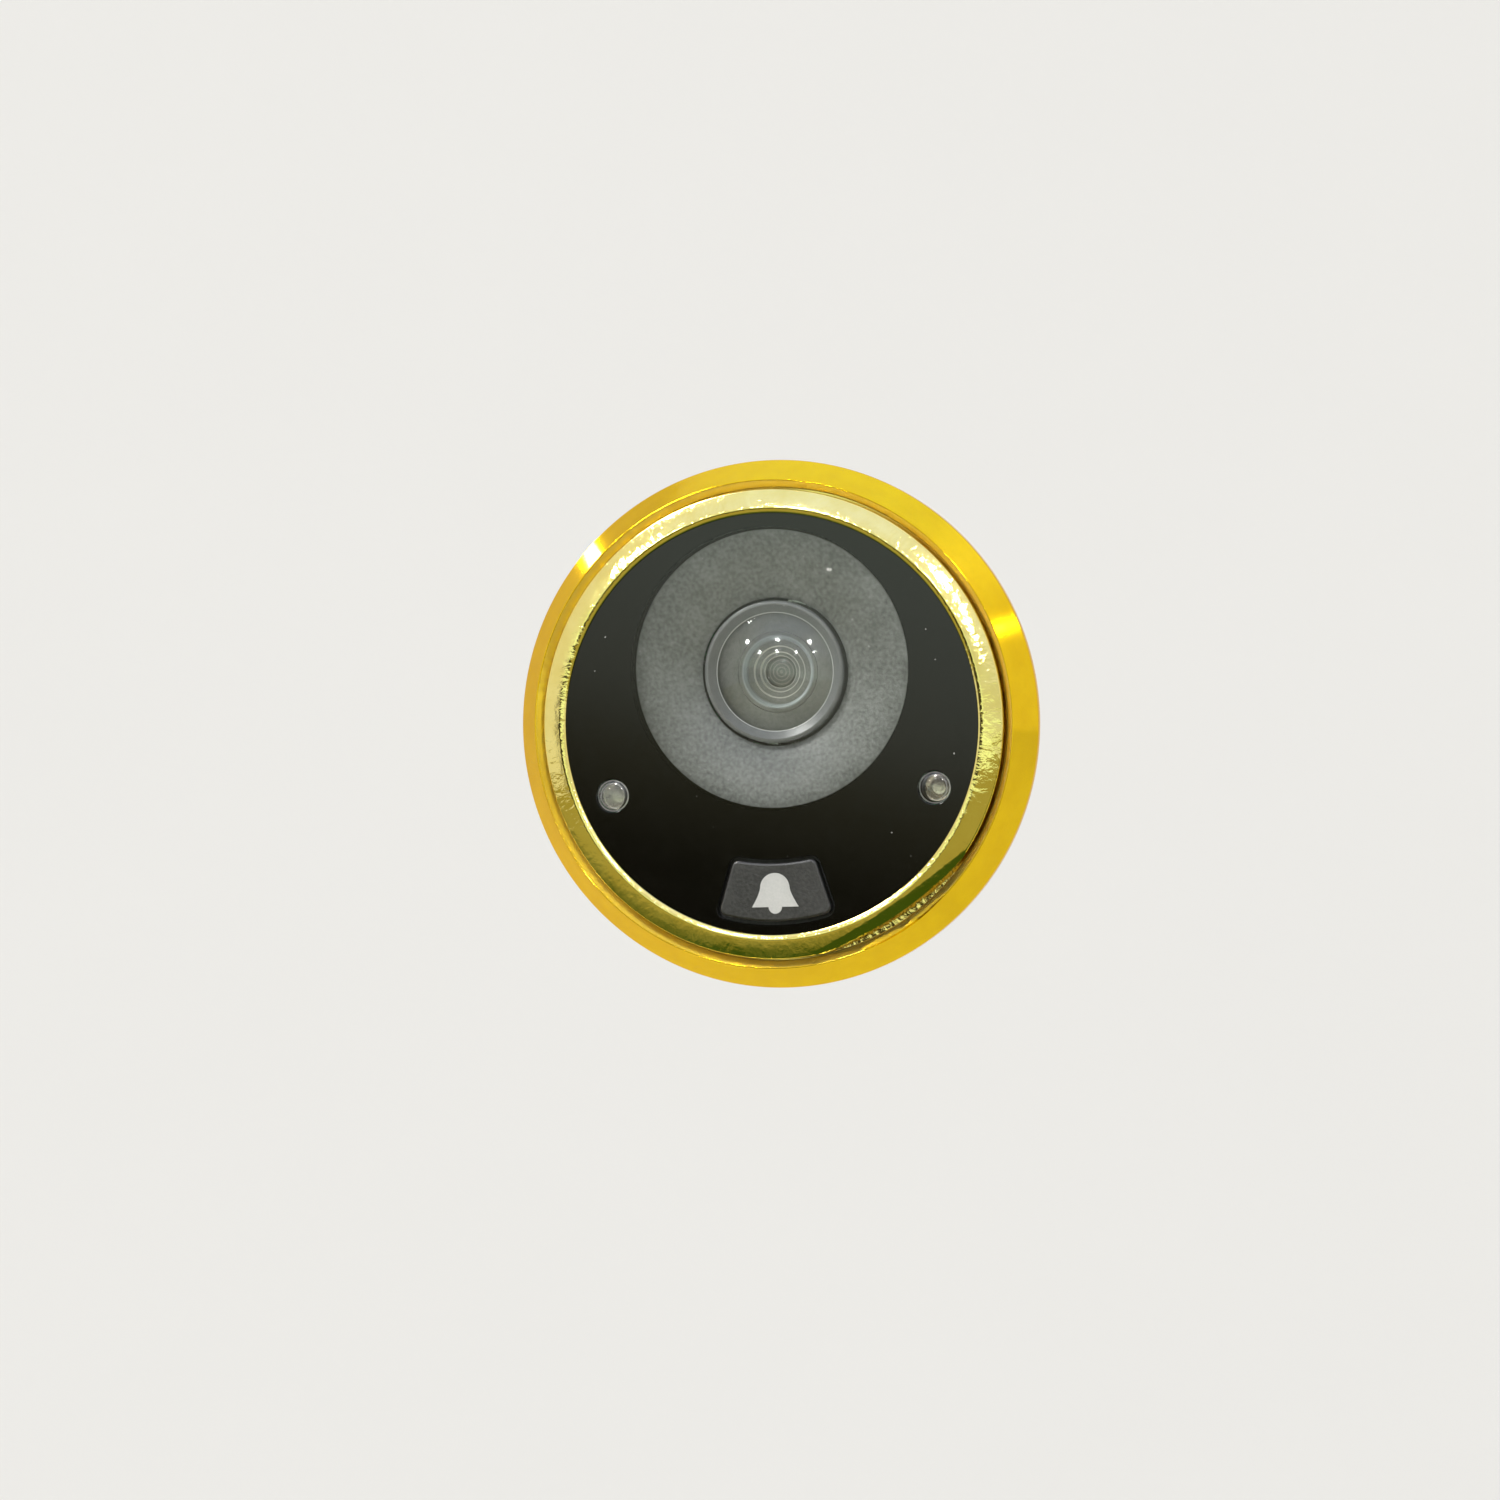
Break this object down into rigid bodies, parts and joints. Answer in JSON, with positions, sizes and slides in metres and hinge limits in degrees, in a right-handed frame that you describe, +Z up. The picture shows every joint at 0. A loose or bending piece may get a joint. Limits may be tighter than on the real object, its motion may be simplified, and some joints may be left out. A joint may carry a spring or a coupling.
{
  "type": "peephole door camera",
  "caption": "Round outdoor head of a digital door viewer: gold ring and bezel, black face panel, wide-angle lens, infrared lamp, light sensor and a doorbell button, with a neck for the door.",
  "frame": {"origin": "on the axis of the neck, in the plane of the door's outer face (the back of the foam ring)", "axes": "+Z up the door, -Y out of the door towards the visitor, +Y along the neck into the door, +X to the visitor's right"},
  "size_m": [0.0522, 0.0264, 0.0522],
  "materials": {
    "foam": "closed-cell foam",
    "base_gold": "polished gold plating",
    "bezel_gold": "polished gold plating with faint polishing ripples",
    "clear_panel": "clear polished acrylic",
    "black_film": "black print behind the panel",
    "adhesive": "foam adhesive",
    "grey_moulding": "fine spark-eroded texture",
    "button_plastic": "fine matte texture",
    "white_print": "pad print",
    "black_plastic": "moulded",
    "spring_steel": "stamped",
    "ivory_plastic": "moulded",
    "board_green": "solder mask",
    "chip_black": "moulded packages",
    "screw_steel": "zinc plated",
    "clear_resin": "clear epoxy",
    "tinted_resin": "slightly tinted epoxy",
    "lead_frame": "silver-plated lead frame",
    "gold_pins": "gold flash",
    "ring_grey": "satin anodised",
    "lens_glass": "polished, coated",
    "barrel_black": "grey anodised",
    "coated_glass": "polished, coated",
    "filter_glass": "coated filter",
    "sensor_die": "ceramic package",
    "housing_black": "fine moulded grain",
    "seal_rubber": "moulded",
    "insert_brass": "turned"
  },
  "bodies": {
    "root": {"door_gasket": "foam", "base_ring": "base_gold", "bezel_ring": "bezel_gold", "face_panel": "clear_panel", "panel_mask": "black_film", "panel_tape": "adhesive", "lens_shroud": "grey_moulding", "button_guide": "black_plastic", "switch_base": "black_plastic", "switch_dome": "spring_steel", "switch_cover": "spring_steel", "main_board": "board_green", "main_board_chips": "chip_black", "main_board_screws": "screw_steel", "ir_led_dome": "clear_resin", "ir_led_cup": "lead_frame", "light_sensor_dome": "tinted_resin", "light_sensor_cup": "lead_frame", "link_header": "black_plastic", "link_pins": "gold_pins", "lens_ring": "ring_grey", "front_glass": "lens_glass", "lens_barrel": "barrel_black", "lens_spacer": "barrel_black", "second_glass": "coated_glass", "aperture_stop": "barrel_black", "third_glass": "coated_glass", "rear_glass": "coated_glass", "rear_retainer": "barrel_black", "lens_lock_ring": "screw_steel", "lens_holder": "black_plastic", "holder_screws": "screw_steel", "infrared_filter": "filter_glass", "image_sensor": "sensor_die", "sensor_glass": "coated_glass", "sensor_board": "board_green", "sensor_board_chips": "chip_black", "housing": "housing_black", "rear_cover": "housing_black", "cover_seal": "seal_rubber", "cover_screws": "screw_steel", "brass_inserts": "insert_brass", "cable_socket": "ivory_plastic", "socket_pins": "gold_pins"},
    "button": {"bell_button": "button_plastic", "bell_symbol": "white_print"},
    "plunger": {"switch_plunger": "ivory_plastic"}
  },
  "joints": [
    {"name": "bell_button_press", "type": "slide", "parent": "root", "child": "button", "axis": [0, 1, 0], "range_m": [0, 0.0004], "stiffness_N_per_m": 1500, "springref_m": -0.0004},
    {"name": "switch_plunger_press", "type": "slide", "parent": "root", "child": "plunger", "axis": [0, 1, 0], "range_m": [0, 0.0004]}
  ],
  "couplings": [
    {"joint": "switch_plunger_press", "follows": "bell_button_press", "ratio": 1}
  ]
}
